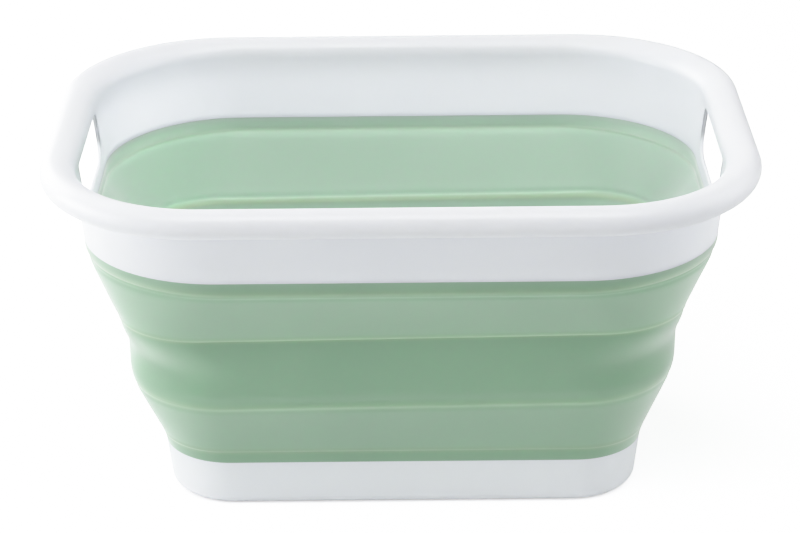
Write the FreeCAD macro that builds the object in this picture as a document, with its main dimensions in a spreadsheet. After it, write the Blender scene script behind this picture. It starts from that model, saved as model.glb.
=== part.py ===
"""Collapsible tub: a rigid white rim frame and a rigid white base tray joined by a soft ribbed
sleeve that folds down in two steps.  Millimetres, +Z up, origin on the floor under the centre."""
import FreeCAD, Part
import math
import os
import Sketcher

# Driving dimensions.  Insets are measured inwards from the outer face of the upper wall edge.
SIZES = {
    "half_length": 259.0,          # outer face of the white wall at its lower edge, from the centre
    "half_width": 186.0,
    "corner": 108.0,               # plan radius of that face at the four corners
    "wall": 2.4,                   # thickness of the rim wall, the base and the sleeve panels
    "hinge_wall": 1.2,             # thickness of the sleeve at its living hinges
    "lip_out": 19.4,               # centre of the rolled lip, outside the wall's lower edge
    "lip_radius": 11.6,
    "lip_top": 299.0,
    "shoulder": 16.0,              # radius from the inner wall over into the lip
    "rim_low": 229.5,              # white wall meets the green sleeve
    "hinge_a_top": 221.0,          # upper outer hinge
    "hinge_a_low": 215.0,
    "hinge_a_inset": 2.0,
    "hinge_b_top": 173.0,          # upper inner hinge
    "hinge_b_low": 168.0,
    "hinge_b_inset": 25.4,
    "band_top_inset": 27.2,
    "hinge_c_top": 109.5,          # lower outer hinge
    "hinge_c_low": 103.5,
    "band_low_inset": 32.0,
    "hinge_c_inset": 34.0,
    "hinge_d_top": 56.5,           # lower inner hinge
    "hinge_d_low": 51.5,
    "hinge_d_inset": 55.6,
    "cuff_inset": 57.2,
    "base_top": 41.9,              # green sleeve meets the white base
    "base_inset": 58.6,
    "base_low_inset": 61.9,        # where the base wall starts to round under
    "floor_radius": 9.6,
    "tongue": 7.0,                 # rigid tongue moulded into the edge of the sleeve
    "tongue_wall": 0.8,
    "tongue_gap": 0.05,
    "tongue_lean": 1.0,            # the base's tongue leans out with the wall around it
    "hole_half": 59.0,             # hand hole through each end wall
    "hole_low": 241.0,
    "hole_top": 280.0,
    "hole_low_radius": 18.0,
    "hole_top_radius": 6.0,
    "hole_reach": 8.0,             # cut this far to each side of the wall's lower outer face
}


RIGHT, LEFT = 1, -1                # side a quarter turn bulges to, seen along its outline


class Size:
    """A number together with the spreadsheet expression that gives it."""

    def __init__(self, value, text):
        self.value = value
        self.text = text

    def __add__(self, other):
        return Size(self.value + other.value, f"({self.text} + {other.text})")

    def __sub__(self, other):
        return Size(self.value - other.value, f"({self.text} - {other.text})")

    def __mul__(self, factor):
        return Size(self.value * factor, f"({self.text} * {factor})")


def fill_sheet(doc):
    """Write the driving dimensions into the spreadsheet and return them as Size objects."""
    sheet = doc.addObject("Spreadsheet::Sheet", "Sizes")
    sizes = {}
    for row, (alias, value) in enumerate(SIZES.items(), start=1):
        sheet.set(f"A{row}", alias)
        sheet.set(f"B{row}", str(value))
        sheet.setAlias(f"B{row}", alias)
        sizes[alias] = Size(value, f"Sizes.{alias}")
    doc.recompute()
    return sizes


def origin_plane(body, role):
    """One of the body's own origin planes."""
    return next(item for item in body.Origin.OriginFeatures if item.Role == role)


def new_sketch(body, name, role):
    sketch = body.newObject("Sketcher::SketchObject", name)
    sketch.AttachmentSupport = [(origin_plane(body, role), "")]
    sketch.MapMode = "FlatFace"
    return sketch


def hold(sketch, kind, geometry, size):
    """Add a dimensional constraint and bind it to the spreadsheet."""
    index = sketch.addConstraint(Sketcher.Constraint(kind, *geometry, size.value))
    sketch.setExpression(f"Constraints[{index}]", size.text)


def rounded_rectangle(body, name, half_x, half_y, radius):
    """Closed rounded rectangle on the floor plane, centred on the origin."""
    sketch = new_sketch(body, name, "XY_Plane")
    flat_x = half_x.value - radius.value
    flat_y = half_y.value - radius.value
    sides = [((-flat_x, -half_y.value), (flat_x, -half_y.value)),
             ((half_x.value, -flat_y), (half_x.value, flat_y)),
             ((flat_x, half_y.value), (-flat_x, half_y.value)),
             ((-half_x.value, flat_y), (-half_x.value, -flat_y))]
    centres = [(flat_x, -flat_y), (flat_x, flat_y), (-flat_x, flat_y), (-flat_x, -flat_y)]
    up = FreeCAD.Vector(0, 0, 1)
    for quarter, (side, centre) in enumerate(zip(sides, centres)):
        start, end = (FreeCAD.Vector(*point, 0) for point in side)
        sketch.addGeometry(Part.LineSegment(start, end), False)
        first = math.radians(90 * (quarter - 1))
        circle = Part.Circle(FreeCAD.Vector(*centre, 0), up, radius.value)
        sketch.addGeometry(Part.ArcOfCircle(circle, first, first + math.pi / 2), False)
    for index in range(8):
        sketch.addConstraint(Sketcher.Constraint("Tangent", index, 2, (index + 1) % 8, 1))
    for index in (0, 4):
        sketch.addConstraint(Sketcher.Constraint("Horizontal", index))
        sketch.addConstraint(Sketcher.Constraint("Vertical", index + 2))
    for index in (3, 5, 7):
        sketch.addConstraint(Sketcher.Constraint("Equal", 1, index))
    sketch.addConstraint(Sketcher.Constraint("Symmetric", 1, 3, 5, 3, -1, 1))
    hold(sketch, "Radius", (1,), radius)
    hold(sketch, "DistanceX", (-1, 1, 2, 1), half_x)
    hold(sketch, "DistanceY", (-1, 1, 4, 1), half_y)
    return sketch


def end_at(edge, point):
    """Number of the edge's end that lies on the point: 1 for its start, 2 for its end."""
    return 1 if (edge.StartPoint - point).Length < (edge.EndPoint - point).Length else 2


def outline(sketch, points):
    """Closed outline through points of (across, up, bend).  A bend of None makes the edge that
    leaves the point straight; (radius, side) makes it a quarter turn that bulges to that side."""
    corners = [FreeCAD.Vector(across.value, up.value, 0) for across, up, bend in points]
    following = corners[1:] + corners[:1]
    for start, end, (across, up, bend) in zip(corners, following, points):
        if bend is None:
            sketch.addGeometry(Part.LineSegment(start, end), False)
            continue
        radius, side = bend
        chord = end - start
        outward = FreeCAD.Vector(chord.y, -chord.x, 0).normalize() * side
        centre = (start + end) * 0.5 - outward * (radius.value * math.cos(math.pi / 4))
        spoke = (start if side == RIGHT else end) - centre
        first = math.atan2(spoke.y, spoke.x)
        circle = Part.Circle(centre, FreeCAD.Vector(0, 0, 1), radius.value)
        sketch.addGeometry(Part.ArcOfCircle(circle, first, first + math.pi / 2), False)
    for index, (across, up, bend) in enumerate(points):
        before = (index - 1) % len(points)
        near = end_at(sketch.Geometry[index], corners[index])
        far = end_at(sketch.Geometry[before], corners[index])
        sketch.addConstraint(Sketcher.Constraint("Coincident", before, far, index, near))
        hold(sketch, "DistanceX", (-1, 1, index, near), across)
        hold(sketch, "DistanceY", (-1, 1, index, near), up)
        if bend is not None:
            hold(sketch, "Radius", (index,), bend[0])


def swept_ring(doc, size, name, section):
    """A body made by carrying a wall section round the rounded-rectangle plan of the tub.
    The section is a list of (inset, height, bend)."""
    body = doc.addObject("PartDesign::Body", name)
    body.Label = name
    path = rounded_rectangle(body, f"{name}_plan", size["half_length"], size["half_width"],
                             size["corner"])
    profile = new_sketch(body, f"{name}_section", "YZ_Plane")
    start = size["half_length"] - size["corner"]
    profile.AttachmentOffset = FreeCAD.Placement(FreeCAD.Vector(0, 0, start.value),
                                                 FreeCAD.Rotation())
    profile.setExpression("AttachmentOffset.Base.z", start.text)
    outline(profile, [(inset - size["half_width"], up, bend) for inset, up, bend in section])
    ring = body.newObject("PartDesign::AdditivePipe", f"{name}_sweep")
    ring.Profile = profile
    ring.Spine = (path, [f"Edge{number}" for number in range(1, 9)])
    body.Tip = ring
    doc.recompute()
    return body


def rim_frame(doc, size):
    """Rigid rim: flared upper wall, rolled lip open underneath, and a hand hole in each end."""
    wall, roll, shoulder = size["wall"], size["lip_radius"], size["shoulder"]
    top, low = size["lip_top"], size["rim_low"]
    zero = wall - wall
    lip = zero - size["lip_out"]
    face = lip + shoulder
    middle = top - roll
    root = (wall - size["tongue_wall"]) * 0.5
    body = swept_ring(doc, size, "rim_frame", [
        (zero, low, None),
        (face - wall, top - shoulder, (shoulder - wall, RIGHT)),
        (lip, top - wall, (roll - wall, RIGHT)),
        (lip - roll + wall, middle, (roll - wall, RIGHT)),
        (lip, middle - roll + wall, None),
        (lip, middle - roll, (roll, LEFT)),
        (lip - roll, middle, (roll, LEFT)),
        (lip, top, (shoulder, LEFT)),
        (face, top - shoulder, None),
        (wall, low, None),
        (wall - root, low, None),
        (wall - root, low - size["tongue"], None),
        (root, low - size["tongue"], None),
        (root, low, None),
    ])
    reach = size["hole_reach"]
    for name, start in (("right", size["half_length"] - reach),
                        ("left", zero - size["half_length"] - reach)):
        cut_hand_hole(body, size, name, start, reach * 2)
        doc.recompute()
    return body


def cut_hand_hole(body, size, name, start, depth):
    """One hand hole, square-shouldered at the top and rounder at the bottom."""
    half, low, top = size["hole_half"], size["hole_low"], size["hole_top"]
    large, small = size["hole_low_radius"], size["hole_top_radius"]
    zero = half - half
    sketch = new_sketch(body, f"{name}_hand_hole", "YZ_Plane")
    sketch.AttachmentOffset = FreeCAD.Placement(FreeCAD.Vector(0, 0, start.value),
                                                FreeCAD.Rotation())
    sketch.setExpression("AttachmentOffset.Base.z", start.text)
    outline(sketch, [
        (zero - half + large, low, None),
        (half - large, low, (large, RIGHT)),
        (half, low + large, None),
        (half, top - small, (small, RIGHT)),
        (half - small, top, None),
        (zero - half + small, top, (small, RIGHT)),
        (zero - half, top - small, None),
        (zero - half, low + large, (large, RIGHT)),
    ])
    before = body.Shape.Volume
    pocket = body.newObject("PartDesign::Pocket", f"{name}_hand_hole_cut")
    pocket.Profile = sketch
    pocket.Type = "Length"
    pocket.Length = depth.value
    pocket.setExpression("Length", depth.text)
    pocket.Reversed = True
    body.Tip = pocket
    body.Document.recompute()
    if not body.Shape.Volume < before:
        raise RuntimeError(f"{name} hand hole removed nothing")


def cuff(doc, size, name, upper, lower, tongue_side):
    """Upright edge of the sleeve with the groove that the rigid tongue is moulded into.
    upper and lower are (inset, height); tongue_side says which edge holds the groove, which
    leans out when it is the lower one."""
    wall = size["wall"]
    slot = size["tongue_wall"] + size["tongue_gap"] * 2
    near = (wall - slot) * 0.5
    depth = size["tongue"] + size["tongue_gap"]
    lean = size["tongue_lean"]
    (top_inset, top), (low_inset, low) = upper, lower
    if tongue_side == "top":
        section = [(low_inset, low), (top_inset, top), (top_inset + near, top),
                   (top_inset + near, top - depth), (top_inset + wall - near, top - depth),
                   (top_inset + wall - near, top), (top_inset + wall, top), (low_inset + wall, low)]
    else:
        section = [(low_inset, low), (top_inset, top), (top_inset + wall, top),
                   (low_inset + wall, low), (low_inset + wall - near, low),
                   (low_inset + wall - near - lean, low + depth),
                   (low_inset + near - lean, low + depth), (low_inset + near, low)]
    return swept_ring(doc, size, name, [(inset, up, None) for inset, up in section])


def panel(doc, size, name, upper, lower):
    """Full-thickness panel of the sleeve between two heights."""
    wall = size["wall"]
    (top_inset, top), (low_inset, low) = upper, lower
    return swept_ring(doc, size, name, [
        (low_inset, low, None),
        (top_inset, top, None),
        (top_inset + wall, top, None),
        (low_inset + wall, low, None),
    ])


def living_hinge(doc, size, name, upper, lower):
    """Thin flexible strip of the sleeve, set half way through the panels it joins."""
    thin = size["hinge_wall"]
    back = (size["wall"] - thin) * 0.5
    (top_inset, top), (low_inset, low) = upper, lower
    return swept_ring(doc, size, name, [
        (low_inset + back, low, None),
        (top_inset + back, top, None),
        (top_inset + back + thin, top, None),
        (low_inset + back + thin, low, None),
    ])


def base_tray(doc, size):
    """Rigid base: low wall with a tongue on top, rounded under into a flat floor."""
    wall, turn = size["wall"], size["floor_radius"]
    top, rim, low = size["base_top"], size["base_inset"], size["base_low_inset"]
    zero = wall - wall
    root = (wall - size["tongue_wall"]) * 0.5
    lean = size["tongue_lean"]
    floor_edge = low + turn
    inner_edge = floor_edge + wall
    body = swept_ring(doc, size, "base_tray", [
        (rim, top, None),
        (low, turn, (turn, RIGHT)),
        (floor_edge, zero, None),
        (inner_edge, zero, None),
        (inner_edge, wall, None),
        (floor_edge, wall, (turn - wall, LEFT)),
        (low + wall, turn, None),
        (rim + wall, top, None),
        (rim + wall - root, top, None),
        (rim + wall - root - lean, top + size["tongue"], None),
        (rim + root - lean, top + size["tongue"], None),
        (rim + root, top, None),
    ])
    before = body.Shape.Volume
    plate = rounded_rectangle(body, "floor_plan", size["half_length"] - floor_edge,
                              size["half_width"] - floor_edge, size["corner"] - floor_edge)
    pad = body.newObject("PartDesign::Pad", "floor")
    pad.Profile = plate
    pad.Type = "Length"
    pad.Length = wall.value
    pad.setExpression("Length", wall.text)
    body.Tip = pad
    doc.recompute()
    if not body.Shape.Volume > before:
        raise RuntimeError("the floor added nothing")
    return body


def build(doc):
    """Every sub-part, from the rim down."""
    size = fill_sheet(doc)
    zero = size["wall"] - size["wall"]
    rim_low = (zero, size["rim_low"])
    hinge_a_top = (zero, size["hinge_a_top"])
    hinge_a_low = (size["hinge_a_inset"], size["hinge_a_low"])
    hinge_b_top = (size["hinge_b_inset"], size["hinge_b_top"])
    hinge_b_low = (size["band_top_inset"], size["hinge_b_low"])
    hinge_c_top = (size["band_low_inset"], size["hinge_c_top"])
    hinge_c_low = (size["hinge_c_inset"], size["hinge_c_low"])
    hinge_d_top = (size["hinge_d_inset"], size["hinge_d_top"])
    hinge_d_low = (size["cuff_inset"], size["hinge_d_low"])
    base_top = (size["base_inset"], size["base_top"])
    return [
        rim_frame(doc, size),
        cuff(doc, size, "upper_cuff", rim_low, hinge_a_top, "top"),
        living_hinge(doc, size, "upper_outer_hinge", hinge_a_top, hinge_a_low),
        panel(doc, size, "upper_fold", hinge_a_low, hinge_b_top),
        living_hinge(doc, size, "upper_inner_hinge", hinge_b_top, hinge_b_low),
        panel(doc, size, "middle_band", hinge_b_low, hinge_c_top),
        living_hinge(doc, size, "lower_outer_hinge", hinge_c_top, hinge_c_low),
        panel(doc, size, "lower_fold", hinge_c_low, hinge_d_top),
        living_hinge(doc, size, "lower_inner_hinge", hinge_d_top, hinge_d_low),
        cuff(doc, size, "lower_cuff", hinge_d_low, base_top, "low"),
        base_tray(doc, size),
    ]


def check(doc, bodies):
    """Stop if any feature failed or any body is not one sound solid."""
    for item in doc.Objects:
        if "Invalid" in item.State or "Error" in item.State:
            raise RuntimeError(f"{item.Name} did not compute: {item.State}")
    for body in bodies:
        if body.Shape.isNull() or not body.Shape.isValid() or len(body.Shape.Solids) != 1:
            raise RuntimeError(f"{body.Label} is not one sound solid")


os.makedirs("parts", exist_ok=True)
document = FreeCAD.newDocument("collapsible_tub")
parts = build(document)
document.recompute()
check(document, parts)
for part in parts:
    part.Shape.exportStep(os.path.join("parts", f"{part.Label}.step"))
    print(part.Label, round(part.Shape.Volume / 1000, 2), "cm3")
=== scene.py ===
"""Looks of the collapsible tub: white rim frame and base tray, pale green folding sleeve.
Metres throughout, except in the tables said to be in millimetres, which are scaled by MM."""
import math

import bmesh
import bpy
from mathutils import Matrix, Vector, noise


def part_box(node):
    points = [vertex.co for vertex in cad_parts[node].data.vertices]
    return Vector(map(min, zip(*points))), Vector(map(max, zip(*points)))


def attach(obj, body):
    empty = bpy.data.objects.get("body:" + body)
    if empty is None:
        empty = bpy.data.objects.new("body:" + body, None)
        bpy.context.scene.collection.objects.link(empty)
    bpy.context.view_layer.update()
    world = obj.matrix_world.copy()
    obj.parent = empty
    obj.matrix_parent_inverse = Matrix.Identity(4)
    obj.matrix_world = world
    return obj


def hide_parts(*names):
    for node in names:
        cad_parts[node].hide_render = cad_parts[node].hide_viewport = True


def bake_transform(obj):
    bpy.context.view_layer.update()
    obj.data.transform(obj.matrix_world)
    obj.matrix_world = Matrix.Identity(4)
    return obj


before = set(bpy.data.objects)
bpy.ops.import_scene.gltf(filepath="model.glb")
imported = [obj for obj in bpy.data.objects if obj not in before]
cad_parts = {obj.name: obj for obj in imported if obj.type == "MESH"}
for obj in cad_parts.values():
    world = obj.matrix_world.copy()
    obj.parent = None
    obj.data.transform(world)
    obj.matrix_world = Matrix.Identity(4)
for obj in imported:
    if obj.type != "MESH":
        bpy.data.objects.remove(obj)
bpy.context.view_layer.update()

MM = 0.001
SHARP_ANGLE = 40.0                 # degrees between faces above which an edge is drawn sharp

# Columns round the plan: in each corner, along each end and along each long side.
CORNER_STEPS = 26
END_STEPS = 44
SIDE_STEPS = 28
COLUMNS = 2 * END_STEPS + 2 * SIDE_STEPS + 4 * CORNER_STEPS
LEFT_END = END_STEPS + SIDE_STEPS + 2 * CORNER_STEPS

# ---------------------------------------------------------------- sizes taken from the frame
CUFF_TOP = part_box("upper_cuff")[1]
RIM_LOW = CUFF_TOP.z
WALL_HALF_X = CUFF_TOP.x - 0.6 * MM
WALL_HALF_Y = CUFF_TOP.y
LIP_HALF_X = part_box("rim_frame")[1].x
LIP_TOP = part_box("rim_frame")[1].z

# ---------------------------------------------------------------- sizes of the mouldings
WALL = 2.4 * MM                    # wall thickness
WALL_CORNER = 114.8 * MM           # plan radius of the wall's corners
WALL_FULL = 0.5 * MM               # the long walls stand this much outside the drawn plan
LIP_RADIUS = 11.6 * MM             # of the rolled lip's section
LIP_OUT = 19.4 * MM                # how far the lip's middle lies outside the wall
LIP_CORNER = 105.5 * MM + LIP_OUT  # plan radius of the lip's corners
LIP_PULL = 1.0 * MM                # the lip along the long walls lies this much inside it
SHOULDER = 16.0 * MM               # radius of the turn from wall to lip
SHOULDER_Z = LIP_TOP - SHOULDER    # where the straight wall ends
SCATTER_FADE = 5.0 * MM            # distance from a seam over which scattering rises


def smooth(value):
    value = min(1.0, max(0.0, value))
    return value * value * (3 - 2 * value)


def between(table, key):
    """Value from a table of (key, value, eased) rows in falling key order.  A row's `eased` says
    whether the run down to it eases in and out or is straight."""
    if key >= table[0][0]:
        return table[0][1]
    for (high, above, before), (low, below, eased) in zip(table, table[1:]):
        if key >= low:
            share = (high - key) / (high - low)
            return above + (below - above) * (smooth(share) if eased else share)
    return table[-1][1]


def plan_points(half_x, half_y, radius):
    """Points anticlockwise round a rounded rectangle, starting at the front of the right end:
    right end, corner, back, corner, left end, corner, front, corner.  The count never changes."""
    flat_x, flat_y = half_x - radius, half_y - radius
    points = []

    def straight(start, end, steps):
        for step in range(steps):
            points.append(start.lerp(end, step / steps))

    def turn(centre, first):
        for step in range(CORNER_STEPS):
            angle = math.radians(first + 90 * step / CORNER_STEPS)
            points.append(centre + radius * Vector((math.cos(angle), math.sin(angle))))

    straight(Vector((half_x, -flat_y)), Vector((half_x, flat_y)), END_STEPS)
    turn(Vector((flat_x, flat_y)), 0)
    straight(Vector((flat_x, half_y)), Vector((-flat_x, half_y)), SIDE_STEPS)
    turn(Vector((-flat_x, flat_y)), 90)
    straight(Vector((-half_x, flat_y)), Vector((-half_x, -flat_y)), END_STEPS)
    turn(Vector((-flat_x, -flat_y)), 180)
    straight(Vector((-flat_x, -half_y)), Vector((flat_x, -half_y)), SIDE_STEPS)
    turn(Vector((flat_x, -flat_y)), 270)
    return points


def arc(centre, radius, first, last, steps):
    """Points (out, z) on an arc, both ends included, angles in degrees."""
    points = []
    for step in range(steps + 1):
        angle = math.radians(first + (last - first) * step / steps)
        points.append((centre[0] + radius * math.cos(angle), centre[1] + radius * math.sin(angle)))
    return points


def set_share(piece, name, values):
    layer = piece.data.attributes.new(name, "FLOAT", "POINT")
    layer.data.foreach_set("value", values)


def fade_scatter(piece, seams):
    """Scattering by height: none at each seam, given in millimetres, and full a little way off."""
    set_share(piece, "scatter",
              [min(smooth(abs(vertex.co.z - TILT * vertex.co.x * lean_share(vertex.co.z / MM)
                              - seam * MM) / SCATTER_FADE) for seam in seams)
               for vertex in piece.data.vertices])


def new_piece(name, vertices, faces, material):
    """A smooth-shaded closed mesh whose faces all point out of the material."""
    mesh = bpy.data.meshes.new(name)
    mesh.from_pydata([tuple(vertex) for vertex in vertices], [], faces)
    solid = bmesh.new()
    solid.from_mesh(mesh)
    unused = [vertex for vertex in solid.verts if not vertex.link_faces]
    bmesh.ops.delete(solid, geom=unused, context="VERTS")
    bmesh.ops.recalc_face_normals(solid, faces=solid.faces)
    solid.to_mesh(mesh)
    solid.free()
    mesh.polygons.foreach_set("use_smooth", [True] * len(mesh.polygons))
    mesh.set_sharp_from_angle(angle=math.radians(SHARP_ANGLE))
    mesh.materials.append(material)
    piece = bpy.data.objects.new(name, mesh)
    bpy.context.scene.collection.objects.link(piece)
    return piece


def sweep_faces(rows, skip=()):
    """Quads of a closed loop of rows carried round all columns; skip holds (row, column)."""
    faces = []
    for row in range(rows):
        following = (row + 1) % rows
        for column in range(COLUMNS):
            if (row, column) in skip:
                continue
            beside = (column + 1) % COLUMNS
            faces.append((row * COLUMNS + column, row * COLUMNS + beside,
                          following * COLUMNS + beside, following * COLUMNS + column))
    return faces


# ---------------------------------------------------------------- materials
def colour_node(tree, low, high, scale):
    """A slow noise that wanders between two near colours.  Also returns the node that gives
    places on the object."""
    place = tree.nodes.new("ShaderNodeTexCoord")
    noise_node = tree.nodes.new("ShaderNodeTexNoise")
    noise_node.inputs["Scale"].default_value = scale
    noise_node.inputs["Detail"].default_value = 3.0
    ramp = tree.nodes.new("ShaderNodeValToRGB")
    ramp.color_ramp.elements[0].position = 0.35
    ramp.color_ramp.elements[0].color = (*low, 1)
    ramp.color_ramp.elements[1].position = 0.65
    ramp.color_ramp.elements[1].color = (*high, 1)
    tree.links.new(place.outputs["Object"], noise_node.inputs["Vector"])
    tree.links.new(noise_node.outputs["Fac"], ramp.inputs["Fac"])
    return place, ramp


GRAIN_HEIGHT = 0.0002


def add_grain(tree, place, shader, scale, strength):
    """Fine moulded texture as bump."""
    grain = tree.nodes.new("ShaderNodeTexNoise")
    grain.inputs["Scale"].default_value = scale
    grain.inputs["Detail"].default_value = 4.0
    bump = tree.nodes.new("ShaderNodeBump")
    bump.inputs["Strength"].default_value = strength
    bump.inputs["Distance"].default_value = GRAIN_HEIGHT
    tree.links.new(place.outputs["Object"], grain.inputs["Vector"])
    tree.links.new(grain.outputs["Fac"], bump.inputs["Height"])
    tree.links.new(bump.outputs["Normal"], shader.inputs["Normal"])


def add_rough(tree, place, shader, scale, low, high):
    """Roughness that wanders between two values."""
    cloud = tree.nodes.new("ShaderNodeTexNoise")
    cloud.inputs["Scale"].default_value = scale
    cloud.inputs["Detail"].default_value = 2.0
    spread = tree.nodes.new("ShaderNodeMapRange")
    spread.inputs["From Min"].default_value = 0.3
    spread.inputs["From Max"].default_value = 0.7
    spread.inputs["To Min"].default_value = low
    spread.inputs["To Max"].default_value = high
    tree.links.new(place.outputs["Object"], cloud.inputs["Vector"])
    tree.links.new(cloud.outputs["Fac"], spread.inputs["Value"])
    tree.links.new(spread.outputs["Result"], shader.inputs["Roughness"])


def principled(name):
    material = bpy.data.materials.new(name)
    material.use_nodes = True
    return material, material.node_tree, material.node_tree.nodes["Principled BSDF"]


def let_light_in(tree, shader, reach):
    """Light that scatters through the thin wall; reach is in millimetres for red, green, blue.
    The mesh says how much, because light doesn't pass where two pieces meet."""
    share = tree.nodes.new("ShaderNodeAttribute")
    share.attribute_name = "scatter"
    tree.links.new(share.outputs["Fac"], shader.inputs["Subsurface Weight"])
    shader.inputs["Subsurface Radius"].default_value = reach
    shader.inputs["Subsurface Scale"].default_value = MM


def white_plastic():
    material, tree, shader = principled("white_plastic")
    shader.inputs["Specular IOR Level"].default_value = 0.45
    let_light_in(tree, shader, (6.0, 6.0, 6.3))
    place, ramp = colour_node(tree, (0.80, 0.817, 0.870), (0.82, 0.837, 0.885), scale=5.0)
    tree.links.new(ramp.outputs["Color"], shader.inputs["Base Color"])
    add_rough(tree, place, shader, scale=14.0, low=0.32, high=0.40)
    add_grain(tree, place, shader, scale=900.0, strength=0.12)
    return material


def tint(tree, before, attribute, colour):
    """Turn a colour towards another one by a share kept on the mesh."""
    share = tree.nodes.new("ShaderNodeAttribute")
    share.attribute_name = attribute
    mix = tree.nodes.new("ShaderNodeMix")
    mix.data_type = "RGBA"
    mix.inputs["B"].default_value = (*colour, 1)
    tree.links.new(share.outputs["Fac"], mix.inputs["Factor"])
    tree.links.new(before, mix.inputs["A"])
    return mix.outputs["Result"]


def green_sleeve():
    """Soft rubber.  The mesh says how much painted light it gets: painted floor bounce and
    reflection on the down-facing fold panels, and painted light all over the inner skin; and how
    thin it is at the hinges, where it is paler and yellower."""
    material, tree, shader = principled("green_sleeve")
    shader.inputs["Specular IOR Level"].default_value = 0.45
    shader.inputs["Sheen Weight"].default_value = 1.0
    shader.inputs["Sheen Roughness"].default_value = 0.45
    let_light_in(tree, shader, (3.6, 5.0, 4.0))
    place, ramp = colour_node(tree, (0.265, 0.425, 0.298), (0.280, 0.445, 0.312), scale=7.0)
    # painted light: lightens the base colour on the fold panels and the inner skin
    painted_lighter = tint(tree, ramp.outputs["Color"], "painted_light", (0.60, 0.67, 0.62))
    thin = tint(tree, painted_lighter, "hinge", (0.44, 0.53, 0.37))
    tree.links.new(thin, shader.inputs["Base Color"])
    add_rough(tree, place, shader, scale=10.0, low=0.36, high=0.45)
    add_grain(tree, place, shader, scale=700.0, strength=0.15)
    return material


WHITE = white_plastic()
GREEN = green_sleeve()


# ---------------------------------------------------------------- rim frame
TURN_START = 2.0                   # millimetres outside the wall where its plan turns to the lip's
TURN_SPAN = 12.0


def rim_plan(out, height):
    """Plan of the rim skin that lies `out` outside the wall's lower outer face."""
    share = smooth((out / MM - TURN_START) / TURN_SPAN)
    half_x = WALL_HALF_X + share * (LIP_HALF_X - LIP_RADIUS - LIP_OUT - WALL_HALF_X)
    half_y = WALL_HALF_Y + WALL_FULL - share * (WALL_FULL + LIP_PULL)
    corner = WALL_CORNER + share * (LIP_CORNER - LIP_OUT - WALL_CORNER)
    return [Vector((point.x, point.y, height))
            for point in plan_points(half_x + out, half_y + out, corner + out)]


FACE_LOW = -WALL                   # where the wall's inner face lies at its foot
FACE_TOP = LIP_OUT - SHOULDER      # and at the shoulder
EDGE_ROWS = [0.0, 0.15 * MM, 2.0 * MM, 4.5 * MM]   # rows above the wall's foot, below the patch
PATCH_FIRST = len(EDGE_ROWS)       # the patch that holds the hand hole starts at this row
PATCH_LOW = RIM_LOW + 7.0 * MM
PATCH_ROWS = 26
PATCH_MARGIN = 3                   # columns of the end wall beside the patch
LIP_INSIDE = LIP_RADIUS - WALL     # radius of the rolled lip's hollow


def wall_heights():
    """Heights of the rows up the straight wall; the last PATCH_ROWS + 1 bound the hole patch."""
    rows = [RIM_LOW + step for step in EDGE_ROWS]
    for step in range(PATCH_ROWS + 1):
        rows.append(PATCH_LOW + (SHOULDER_Z - PATCH_LOW) * step / PATCH_ROWS)
    return rows


def inner_out(height):
    """How far out the wall's inner face lies at a height."""
    share = (height - RIM_LOW) / (SHOULDER_Z - RIM_LOW)
    return FACE_LOW + (FACE_TOP - FACE_LOW) * share


def rim_loop():
    """Closed section of the rim as (out, z), with the index of the first inner and outer row of
    the patch."""
    heights = wall_heights()
    loop = [(inner_out(height), height) for height in heights]
    loop[0] = (loop[0][0] + EDGE_ROWS[1], heights[0])
    middle = LIP_TOP - LIP_RADIUS
    loop += arc((LIP_OUT, SHOULDER_Z), SHOULDER, 180, 90, steps=14)[1:]
    loop += arc((LIP_OUT, middle), LIP_RADIUS, 90, -90, steps=26)[1:]
    end = 0.5 * WALL
    loop += arc((LIP_OUT - 0.2 * MM, middle - LIP_RADIUS + end), end, -90, -270, steps=6)[1:]
    loop += arc((LIP_OUT, middle), LIP_INSIDE, -90, 90, steps=20)[1:]
    loop += arc((LIP_OUT, SHOULDER_Z), SHOULDER - WALL, 90, 180, steps=12)[1:]
    outer_top = len(loop) - 1
    loop += [(inner_out(height) + WALL, height) for height in reversed(heights[:-1])]
    loop[-1] = (loop[-1][0] - EDGE_ROWS[1], heights[0])
    return loop, outer_top


HOLE_HALF = 62.0 * MM
HOLE_LOW = RIM_LOW + 11.5 * MM
HOLE_TOP = SHOULDER_Z - 3.0 * MM
HOLE_MIDDLE = 0.5 * (HOLE_LOW + HOLE_TOP)
HOLE_LARGE = 18.0 * MM             # radius of its lower corners
HOLE_SMALL = 4.0 * MM              # and of its upper ones
HALVINGS = 30


def inside_hole(y, z):
    """Whether a point of the end wall lies in the hand hole."""
    if abs(y) > HOLE_HALF or z < HOLE_LOW or z > HOLE_TOP:
        return False
    for radius, edge, step in ((HOLE_LARGE, HOLE_LOW, 1), (HOLE_SMALL, HOLE_TOP, -1)):
        centre_y, centre_z = HOLE_HALF - radius, edge + step * radius
        if abs(y) > centre_y and (z - centre_z) * step < 0:
            return math.hypot(abs(y) - centre_y, z - centre_z) <= radius
    return True


def hole_edge(toward_y, toward_z):
    """Point of the hand hole's outline, found by halving, on the way from its middle by
    (toward_y, toward_z)."""
    near, far = 0.0, 3.0
    for halving in range(HALVINGS):
        share = 0.5 * (near + far)
        if inside_hole(share * toward_y, HOLE_MIDDLE + share * toward_z):
            near = share
        else:
            far = share
    return Vector((near * toward_y, HOLE_MIDDLE + near * toward_z))


FLANGE = 0.6 * MM                  # how far the hole's thickened edge stands out of the wall
ROUND = 1.3 * MM                   # radius of its two roundings
BLEND_IN = (0.35, 0.7)             # rings between the patch's boundary and the edge


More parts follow.
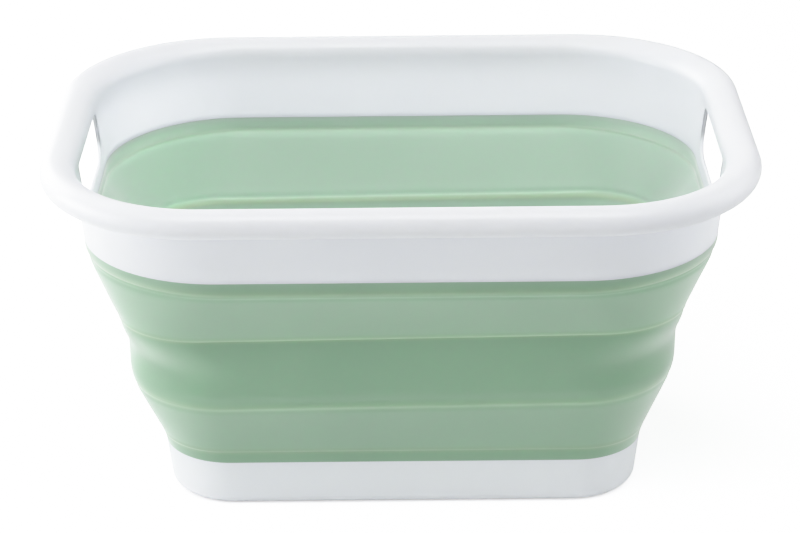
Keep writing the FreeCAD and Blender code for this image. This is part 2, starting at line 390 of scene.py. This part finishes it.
def edge_section():
    """Section of the hole's thickened edge from the inner skin to the outer one, as
    (distance from the hole into the wall, distance out from the inner skin)."""
    depth = WALL + FLANGE
    section = [(2.5 * MM, 0.0), (1.6 * MM, 0.0)]
    section += arc((ROUND, ROUND), ROUND, 270, 180, steps=5)
    section += arc((ROUND, depth - ROUND), ROUND, 180, 90, steps=5)
    section += [(1.4 * MM, depth), (1.75 * MM, depth - 0.15 * MM), (2.0 * MM, WALL + 0.3 * MM)]
    section += [(2.25 * MM, WALL), (2.5 * MM, WALL)]
    return section


def patch_loop(left, right, row_of):
    """Vertex numbers round the patch's boundary, anticlockwise in (column, height)."""
    low, top = PATCH_FIRST, PATCH_FIRST + PATCH_ROWS
    path = [(low, column) for column in range(left, right)]
    path += [(row, right) for row in range(low, top)]
    path += [(top, column) for column in range(right, left, -1)]
    path += [(row, left) for row in range(top, low, -1)]
    return [row_of(row) * COLUMNS + column for row, column in path]


def hole_outline(boundary):
    """A point of the hole's outline, as (y, z), for each point of the patch's boundary."""
    half_y, low_z = abs(boundary[0].y), boundary[0].z
    half_z = 0.5 * (HOLE_TOP - HOLE_LOW)
    outline = []
    for point in boundary:
        reach_y = point.y / half_y
        reach_z = 2 * (point.z - low_z) / (SHOULDER_Z - low_z) - 1
        outline.append(hole_edge(reach_y * HOLE_HALF, reach_z * half_z))
    return outline


def outward(outline, number):
    """Unit direction from one of the outline's points into the wall."""
    along = (outline[(number + 1) % len(outline)] - outline[number - 1]).normalized()
    across = Vector((along.y, -along.x))
    here = outline[number] - Vector((0, HOLE_MIDDLE))
    return across if across.dot(here) > 0 else -across


def cut_hole(vertices, faces, first_column, side, outer_top):
    """Fill one end wall's patch, inner and outer skin, round its hand hole."""
    left, right = first_column + PATCH_MARGIN, first_column + END_STEPS - PATCH_MARGIN
    inner = patch_loop(left, right, lambda row: row)
    outer = patch_loop(left, right, lambda row: outer_top + PATCH_FIRST + PATCH_ROWS - row)
    outline = hole_outline([vertices[index] for index in inner])
    normals = [outward(outline, number) for number in range(len(outline))]
    section = edge_section()
    rings = [inner]

    def add_ring(spots, depth):
        """Ring through (y, z) spots at a depth from the wall's inner face."""
        start = len(vertices)
        for spot in spots:
            plan = rim_plan(inner_out(spot.y) + depth, spot.y)
            x = side * max(abs(point.x) for point in plan)
            vertices.append(Vector((x, spot.x, spot.y)))
        rings.append(list(range(start, len(vertices))))

    def offset(reach):
        return [spot + normal * reach for spot, normal in zip(outline, normals)]

    def part_way(boundary, share):
        """Spots between the patch's boundary and the foot of the hole's edge."""
        starts = [Vector((vertices[index].y, vertices[index].z)) for index in boundary]
        return [start.lerp(foot, share) for start, foot in zip(starts, offset(section[0][0]))]

    for share in BLEND_IN:
        add_ring(part_way(inner, share), 0)
    for reach, depth in section:
        add_ring(offset(reach), depth)
    for share in reversed(BLEND_IN):
        add_ring(part_way(outer, share), WALL)
    rings.append(outer)
    for first, second in zip(rings, rings[1:]):
        for number in range(len(first)):
            beside = (number + 1) % len(first)
            quad = (first[number], first[beside], second[beside], second[number])
            faces.append(quad if side > 0 else tuple(reversed(quad)))


def make_rim():
    """Wall, shoulder and rolled lip as one closed shell, with a hand hole in each end."""
    loop, outer_top = rim_loop()
    vertices = []
    for out, height in loop:
        vertices += rim_plan(out, height)
    skip = set()
    for start in (0, LEFT_END):
        for column in range(start + PATCH_MARGIN, start + END_STEPS - PATCH_MARGIN):
            for row in range(PATCH_ROWS):
                skip.add((PATCH_FIRST + row, column))
                skip.add((outer_top + row, column))
    faces = sweep_faces(len(loop), skip)
    cut_hole(vertices, faces, 0, 1, outer_top)
    cut_hole(vertices, faces, LEFT_END, -1, outer_top)
    return new_piece("rim_shell", vertices, faces, WHITE)


# ---------------------------------------------------------------- sleeve and base
# Outer profile of the sleeve, from the top down, in millimetres: (inset from the wall, height,
# fillet radius).
PROFILE = [
    (0.0, 229.5, 0.0),
    (-0.6, 218.8, 9.0),
    (27.0, 169.5, 4.0),
    (32.2, 106.6, 6.0),
    (56.7, 53.1, 4.0),
    (58.6, 41.9, 0.0),
]
SLEEVE_TOP = PROFILE[0][1]         # heights where the sleeve meets the rim and the tray
SLEEVE_LOW = PROFILE[-1][1]
# Plan radius at the four corners, by height in millimetres; see between().
CORNERS = [(229.5, 114.8, False), (218.6, 122.0, False), (169.5, 69.0, False),
           (135.0, 98.0, True), (106.5, 83.0, True), (53.1, 55.0, False), (41.9, 57.0, False),
           (8.6, 56.0, False)]
TILT = 0.011                       # rise of the fold lines towards the right end
# How much painted light the outer skin gets, by height in millimetres; see between(). The two fold
# panels that face down are painted lighter, standing in for floor bounce and reflection; the upper
# cuff gets a little, the middle band none.
OUTER_PAINTED_LIGHT = [(217.0, 0.14, False), (212.0, 0.20, True), (175.0, 0.15, False), (168.0, 0.0, True),
          (108.0, 0.0, False), (100.0, 0.16, True), (58.0, 0.08, False), (50.0, 0.0, True)]
# And the inner skin, painted lighter all over as if lit through the mouth, most along the line
# below the upper cuff.
INNER_PAINTED_LIGHT = [(229.5, 0.70, False), (221.5, 0.64, False), (218.0, 0.90, True),
                (213.5, 0.71, True), (60.0, 0.66, False)]
# Relief on the outer skin, along its normal, in millimetres: (height, amount, half height).
RELIEF = [(220.5, 0.35, 1.8), (215.2, -0.45, 1.3), (171.5, 0.5, 1.2), (102.5, -0.5, 2.0),
          (54.0, 0.4, 1.2)]
# Thinner places, in the same way.
THIN = [(216.5, 0.45, 3.5), (170.0, 0.9, 3.0), (105.5, 0.9, 3.5), (53.5, 0.9, 3.0)]
# Relief on the inner skin, into the tub.
INNER_RELIEF = [(221.0, 0.3, 2.0), (171.5, -0.5, 1.6), (166.5, 0.7, 2.2), (106.5, 0.4, 2.0),
                (59.5, -0.5, 1.6), (54.0, 0.7, 2.2)]
# Thin places that show paler and yellower: (height, share, half height).  Outer skin, then inner.
PALE = [(220.5, 0.30, 2.6), (170.5, 0.42, 2.5), (105.5, 0.26, 4.0), (53.5, 0.30, 3.0)]
INNER_PALE = [(218.0, 0.25, 2.5), (167.5, 0.60, 2.5), (105.5, 0.30, 4.0), (53.5, 0.30, 3.0)]

ROW_STEP = 1.3 * MM                # largest distance between the sleeve's rows
FILLET_STEPS = 10
END_GAP = 0.2 * MM                 # rows nearer than this to a cut are left out
SLOPE_REACH = 0.6 * MM             # distance over which the profile's direction is measured
SOFT_REACH = 9.0 * MM              # distance over which the ends' profile is averaged
SOFT_SAMPLES = 4                   # to either side
END_TURN = 0.4                     # share of a corner over which the softer profile comes in
WAVE = 0.7 * MM                    # slight waviness of the soft wall
WAVE_SCALE = 11.0
WAVE_SQUASH = 1.6                  # the waves are this much shorter in height
BACK_DROP = 4.5 * MM               # half of how much lower the upper fold line is at the back
TOP_FADE = 55.0                    # millimetres over which tilt and drop fade below the top


def bumps(table, height):
    """Sum of soft bumps at a height in millimetres."""
    return sum(amount * math.exp(-((height - middle) / half) ** 2)
               for middle, amount, half in table)


def fillet(before, corner, after, radius):
    """Points on the fillet that replaces one corner of the profile, both ends included."""
    to_before = (before - corner).normalized()
    to_after = (after - corner).normalized()
    half = 0.5 * to_before.angle(to_after)
    reach = radius / math.tan(half)
    centre = corner + (to_before + to_after).normalized() * (radius / math.sin(half))
    start = (corner + to_before * reach - centre).normalized()
    end = (corner + to_after * reach - centre).normalized()
    return [centre + radius * start.slerp(end, step / FILLET_STEPS)
            for step in range(FILLET_STEPS + 1)]


def profile_points():
    """The outer profile as (inset, height) in metres, closely spaced, from the top down."""
    corners = [Vector((inset, height)) * MM for inset, height, radius in PROFILE]
    path = [corners[0]]
    for index in range(1, len(PROFILE) - 1):
        path += fillet(corners[index - 1], corners[index], corners[index + 1],
                       PROFILE[index][2] * MM)
    path.append(corners[-1])
    dense = []
    for start, end in zip(path, path[1:]):
        steps = max(1, round((end - start).length / ROW_STEP))
        dense += [start.lerp(end, step / steps) for step in range(steps)]
    dense.append(path[-1])
    return dense


def cross_at(path, height):
    """The profile's point at a height."""
    for start, end in zip(path, path[1:]):
        if start.y >= height >= end.y:
            return start.lerp(end, (start.y - height) / (start.y - end.y))
    return path[-1]


def cut_profile(path, top, low):
    """Stretch of the profile between two heights in metres, with its outward normals."""
    rows = [cross_at(path, top)]
    rows += [point for point in path if top - END_GAP > point.y > low + END_GAP]
    rows.append(cross_at(path, low))
    sections = []
    for point in rows:
        ahead = cross_at(path, max(point.y - SLOPE_REACH, path[-1].y))
        behind = cross_at(path, min(point.y + SLOPE_REACH, path[0].y))
        along = (ahead - behind).normalized()
        sections.append((point, Vector((along.y, -along.x))))
    return sections


def soft_path(path):
    """The profile with its insets averaged to either side in height, as (inset, height)."""
    softened = []
    for point in path:
        spread = min(SOFT_REACH, path[0].y - point.y, point.y - path[-1].y)
        near = [cross_at(path, point.y + spread * step / SOFT_SAMPLES).x
                for step in range(-SOFT_SAMPLES, SOFT_SAMPLES + 1)]
        softened.append(Vector((sum(near) / len(near), point.y)))
    return softened


def round_ends():
    """Share by column of the softer profile: none along the sides, full round the ends."""
    reach = END_TURN * CORNER_STEPS
    ramp = [smooth(step / reach) for step in range(CORNER_STEPS)]
    fall = [smooth((CORNER_STEPS - step) / reach) for step in range(CORNER_STEPS)]
    return ([1.0] * END_STEPS + fall + [0.0] * SIDE_STEPS + ramp
            + [1.0] * END_STEPS + fall + [0.0] * SIDE_STEPS + ramp)


def rise_and_fall(height, low, rise):
    """Share that grows over `rise` above a low height and fades to 0 at the sleeve's top, all in
    millimetres."""
    return smooth((height - low) / rise) * smooth((SLEEVE_TOP - height) / TOP_FADE)


def lean_share(height):
    """How much of the sleeve's slight tilt a height in millimetres takes."""
    return rise_and_fall(height, low=42.0, rise=60.0)


def drop_share(height):
    """How much of the upper fold line's drop towards the back a height takes."""
    return rise_and_fall(height, low=106.0, rise=45.0)


def sleeve_ring(inset, height, at):
    """Ring of the sleeve.  inset and height place it; `at` is the height in millimetres that
    sets its corners, tilt, drop and the size of its slight waviness."""
    hard = cross_at(OUTER_PATH, at * MM).x
    extra = max(0.0, cross_at(SOFT_PATH, at * MM).x - hard)
    corner = between(CORNERS, at) * MM - (inset - hard)
    plan = plan_points(WALL_HALF_X - inset, SLEEVE_HALF_Y - inset, corner)
    pulled = plan_points(WALL_HALF_X - inset - extra, SLEEVE_HALF_Y - inset - extra,
                         corner - extra)
    points = []
    share = lean_share(at)
    for point, soft, weight in zip(plan, pulled, ROUND_ENDS):
        point = point.lerp(soft, weight)
        drop = BACK_DROP * (point.y / SLEEVE_HALF_Y + 1) * drop_share(at)
        spot = Vector((point.x, point.y, height + TILT * point.x * share - drop))
        ripple = noise.noise(Vector((spot.x, spot.y, spot.z * WAVE_SQUASH)) * WAVE_SCALE)
        push = point.normalized() * (share * ripple * WAVE)
        points.append(spot + Vector((push.x, push.y, 0)))
    return points


SLEEVE_HALF_Y = WALL_HALF_Y + WALL_FULL
OUTER_PATH = profile_points()
SOFT_PATH = soft_path(OUTER_PATH)
ROUND_ENDS = round_ends()


def sleeve_piece(name, top, low):
    """One closed ring of the sleeve between two heights in millimetres."""
    outer, inner, heights = [], [], []
    for point, out in cut_profile(OUTER_PATH, top * MM, low * MM):
        at = point.y / MM
        skin = point + out * bumps(RELIEF, at) * MM
        back = point - out * (WALL - (bumps(THIN, at) - bumps(INNER_RELIEF, at)) * MM)
        outer.append(sleeve_ring(skin.x, skin.y, at))
        inner.append(sleeve_ring(back.x, back.y, at))
        heights.append(at)
    rings = outer + inner[::-1]
    rising = heights[::-1]
    shares = {"hinge": ([bumps(PALE, at) for at in heights]
                        + [bumps(INNER_PALE, at) for at in rising]),
              # painted light by height: outer skin, then inner
              "painted_light": ([between(OUTER_PAINTED_LIGHT, at) for at in heights]
                         + [between(INNER_PAINTED_LIGHT, at) for at in rising])}
    vertices = [vertex for ring in rings for vertex in ring]
    piece = new_piece(name, vertices, sweep_faces(len(rings)), GREEN)
    for attribute, rows in shares.items():
        set_share(piece, attribute, [value for value in rows for column in range(COLUMNS)])
    fade_scatter(piece, (top, low))
    return piece


TRAY_LOW_INSET = 61.9 * MM         # of the wall's outer face where it starts to turn under
TRAY_TURN = 9.6 * MM               # outer radius of that turn
TRAY_WALL_STEPS = 12
TRAY_TURN_STEPS = 10
FLOOR_RINGS = [0.5 * MM, 4.0 * MM]


def tray_ring(inset, height, skin_inset):
    """Ring of the tray.  skin_inset is the outer face's inset, which sets the corners."""
    corner = between(CORNERS, height / MM) * MM - (inset - skin_inset)
    return [Vector((point.x, point.y, height))
            for point in plan_points(WALL_HALF_X - inset, SLEEVE_HALF_Y - inset, corner)]


def make_tray():
    """Low white wall, rounded under into a flat floor."""
    top_inset = PROFILE[-1][0] * MM
    top = SLEEVE_LOW * MM
    edge = EDGE_ROWS[1]
    outer = [(top_inset + edge, top, top_inset), (top_inset, top - edge, top_inset)]
    inner = [(top_inset + WALL - edge, top, top_inset), (top_inset + WALL, top - edge, top_inset)]
    for step in range(1, TRAY_WALL_STEPS + 1):
        share = step / TRAY_WALL_STEPS
        height = top - edge + (TRAY_TURN - top + edge) * share
        inset = top_inset + (TRAY_LOW_INSET - top_inset) * share
        outer.append((inset, height, inset))
        inner.append((inset + WALL, height, inset))
    centre = (TRAY_LOW_INSET + TRAY_TURN, TRAY_TURN)
    for step in range(1, TRAY_TURN_STEPS + 1):
        angle = math.radians(90 * step / TRAY_TURN_STEPS)
        for rows, radius in ((outer, TRAY_TURN), (inner, TRAY_TURN - WALL)):
            rows.append((centre[0] - radius * math.cos(angle),
                         centre[1] - radius * math.sin(angle), TRAY_LOW_INSET))
    for more in FLOOR_RINGS:
        outer.append((centre[0] + more, 0.0, TRAY_LOW_INSET))
        inner.append((centre[0] + more, WALL, TRAY_LOW_INSET))
    rings = [tray_ring(*row) for row in reversed(inner)] + [tray_ring(*row) for row in outer]
    vertices = [vertex for ring in rings for vertex in ring]
    last = len(rings) - 1
    faces = sweep_faces(len(rings), {(last, column) for column in range(COLUMNS)})
    faces.append(tuple(range(COLUMNS)))
    faces.append(tuple(last * COLUMNS + column for column in reversed(range(COLUMNS))))
    return new_piece("tray", vertices, faces, WHITE)


# ---------------------------------------------------------------- pieces, and the bodies that the rim and tray ride on
SLEEVE_SPLIT = 114.0               # height, in millimetres, where the sleeve's two pieces meet

rim = make_rim()
upper_sleeve = sleeve_piece("upper_sleeve", SLEEVE_TOP, SLEEVE_SPLIT)
lower_sleeve = sleeve_piece("lower_sleeve", SLEEVE_SPLIT, SLEEVE_LOW)
tray = make_tray()
fade_scatter(rim, [SLEEVE_TOP])
fade_scatter(tray, [SLEEVE_LOW])

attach(rim, "rim")
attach(tray, "base")
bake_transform(upper_sleeve)
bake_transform(lower_sleeve)
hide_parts("rim_frame")
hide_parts("upper_cuff", "upper_outer_hinge", "upper_fold", "upper_inner_hinge",
            "middle_band")
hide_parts("lower_outer_hinge", "lower_fold", "lower_inner_hinge", "lower_cuff")
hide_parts("base_tray")


# ---------------------------------------------------------------- floor, light and camera
FLOOR_HALF = 6.0
FLOOR_GLOW = 0.54                  # how much of its own the floor has to look at, near the tub
FAR_GLOW = 0.62                    # and far from it
FADE_START = 1.8                   # distance from the tub where the glow starts to rise
FADE_END = 4.0
BACKDROP = 0.74                    # how bright the surroundings are to look at
AMBIENT = 0.20                     # and as a light
TUB_MIDDLE = (0, 0, 0.15)


def fade_away(tree, place, shader):
    """The floor's own glow, which is only seen and lights nothing.  It rises with distance,
    because less light reaches the floor there, and so the floor's far edge is faint."""
    away = tree.nodes.new("ShaderNodeVectorMath")
    away.operation = "LENGTH"
    spread = tree.nodes.new("ShaderNodeMapRange")
    spread.inputs["From Min"].default_value = FADE_START
    spread.inputs["From Max"].default_value = FADE_END
    spread.inputs["To Min"].default_value = FLOOR_GLOW
    spread.inputs["To Max"].default_value = FAR_GLOW
    tree.links.new(place.outputs["Object"], away.inputs[0])
    tree.links.new(away.outputs["Value"], spread.inputs["Value"])
    path = tree.nodes.new("ShaderNodeLightPath")
    seen = tree.nodes.new("ShaderNodeMath")
    seen.operation = "MULTIPLY"
    tree.links.new(spread.outputs["Result"], seen.inputs[0])
    tree.links.new(path.outputs["Is Camera Ray"], seen.inputs[1])
    tree.links.new(seen.outputs["Value"], shader.inputs["Emission Strength"])


def make_floor():
    """A plain, pale, matt square."""
    size = FLOOR_HALF
    mesh = bpy.data.meshes.new("floor")
    mesh.from_pydata([(-size, -size, 0), (size, -size, 0), (size, size, 0), (-size, size, 0)],
                     [], [(0, 1, 2, 3)])
    material, tree, shader = principled("floor_paint")
    place, ramp = colour_node(tree, (0.89, 0.89, 0.89), (0.91, 0.91, 0.91), scale=1.5)
    tree.links.new(ramp.outputs["Color"], shader.inputs["Base Color"])
    shader.inputs["Roughness"].default_value = 0.7
    shader.inputs["Emission Color"].default_value = (1.0, 1.0, 1.0, 1)
    fade_away(tree, place, shader)
    mesh.materials.append(material)
    floor = bpy.data.objects.new("floor", mesh)
    bpy.context.scene.collection.objects.link(floor)
    return floor


# Rectangular lights: (name, place, aim, size, watts).
LIGHTS = [
    ("overhead", (0.0, 0.2, 2.4), (0, 0.2, 0), (3.0, 2.6), 13.5),
    ("top_front", (0.0, -1.15, 2.4), TUB_MIDDLE, (2.4, 0.8), 38.5),
    ("left_box", (-1.9, -0.2, 0.5), TUB_MIDDLE, (1.7, 1.0), 19.0),
    ("left_back", (-1.6, 1.6, 0.9), TUB_MIDDLE, (1.3, 1.4), 23.0),
    ("right_box", (1.9, 0.3, 0.8), TUB_MIDDLE, (1.4, 1.5), 11.5),
    ("front_low", (0.0, -2.7, 1.3), (0, -0.3, 0.1), (2.6, 0.8), 3.0),
    ("back_light", (0.0, 2.4, 1.3), TUB_MIDDLE, (3.0, 1.4), 10.0),
]


def soft_light(name, spot, aim, size, power):
    light = bpy.data.lights.new(name, "AREA")
    light.shape = "RECTANGLE"
    light.size, light.size_y = size
    light.energy = power
    holder = bpy.data.objects.new(name, light)
    holder.location = spot
    holder.rotation_euler = (Vector(aim) - Vector(spot)).to_track_quat("-Z", "Y").to_euler()
    bpy.context.scene.collection.objects.link(holder)


def set_world():
    """A dim even light from all round, which is itself seen as a plain pale backdrop."""
    world = bpy.data.worlds.new("studio")
    world.use_nodes = True
    tree = world.node_tree
    background = tree.nodes["Background"]
    background.inputs["Color"].default_value = (1.0, 1.0, 1.0, 1)
    path = tree.nodes.new("ShaderNodeLightPath")
    spread = tree.nodes.new("ShaderNodeMapRange")
    spread.inputs["To Min"].default_value = AMBIENT
    spread.inputs["To Max"].default_value = BACKDROP
    tree.links.new(path.outputs["Is Camera Ray"], spread.inputs["Value"])
    tree.links.new(spread.outputs["Result"], background.inputs["Strength"])
    bpy.context.scene.world = world


CAMERA_PLACE = (0.0028, -2.0188, 1.0493)
CAMERA_TURN = (23.74, -0.12, -0.59)   # degrees down, to the right and anticlockwise
LENS = 116.34                      # millimetres, on a sensor of the width below
SENSOR = 36.0


def make_camera():
    """Camera at the photograph's place and lens."""
    pitch, yaw, roll = (math.radians(angle) for angle in CAMERA_TURN)
    ahead = Vector((math.sin(yaw) * math.cos(pitch), math.cos(yaw) * math.cos(pitch),
                    -math.sin(pitch)))
    level = Vector((math.cos(yaw), -math.sin(yaw), 0))
    above = level.cross(ahead)
    right = level * math.cos(roll) + above * math.sin(roll)
    top = above * math.cos(roll) - level * math.sin(roll)
    turn = Matrix((right, top, -ahead)).transposed()
    camera = bpy.data.cameras.new("camera")
    camera.sensor_fit = "HORIZONTAL"
    camera.sensor_width = SENSOR
    camera.lens = LENS
    holder = bpy.data.objects.new("camera", camera)
    holder.matrix_world = Matrix.Translation(CAMERA_PLACE) @ turn.to_4x4()
    bpy.context.scene.collection.objects.link(holder)
    bpy.context.scene.camera = holder


SHOULDER_START = 0.7               # brightness where highlights begin to be held back
SHOULDER_END = 1.5                 # brightness that becomes full white
SHOULDER_STEPS = 12


def soften_highlights(settings):
    """Plain view with a soft shoulder, as a photograph has, so bright white keeps its shape."""
    settings.view_transform = "Standard"
    settings.use_curve_mapping = True
    mapping = settings.curve_mapping
    mapping.white_level = (SHOULDER_END, SHOULDER_END, SHOULDER_END)
    span = SHOULDER_END - SHOULDER_START
    power = span / (1 - SHOULDER_START)
    points = mapping.curves[3].points
    points[0].location = (0, 0)
    points[1].location = (1, 1)
    for step in range(SHOULDER_STEPS):
        share = step / SHOULDER_STEPS
        points.new((SHOULDER_START + span * share) / SHOULDER_END,
                   SHOULDER_START + (1 - SHOULDER_START) * (1 - (1 - share) ** power))
    for point in points:
        point.handle_type = "VECTOR"
    mapping.update()


make_floor()
set_world()
for light in LIGHTS:
    soft_light(*light)
make_camera()
soften_highlights(bpy.context.scene.view_settings)
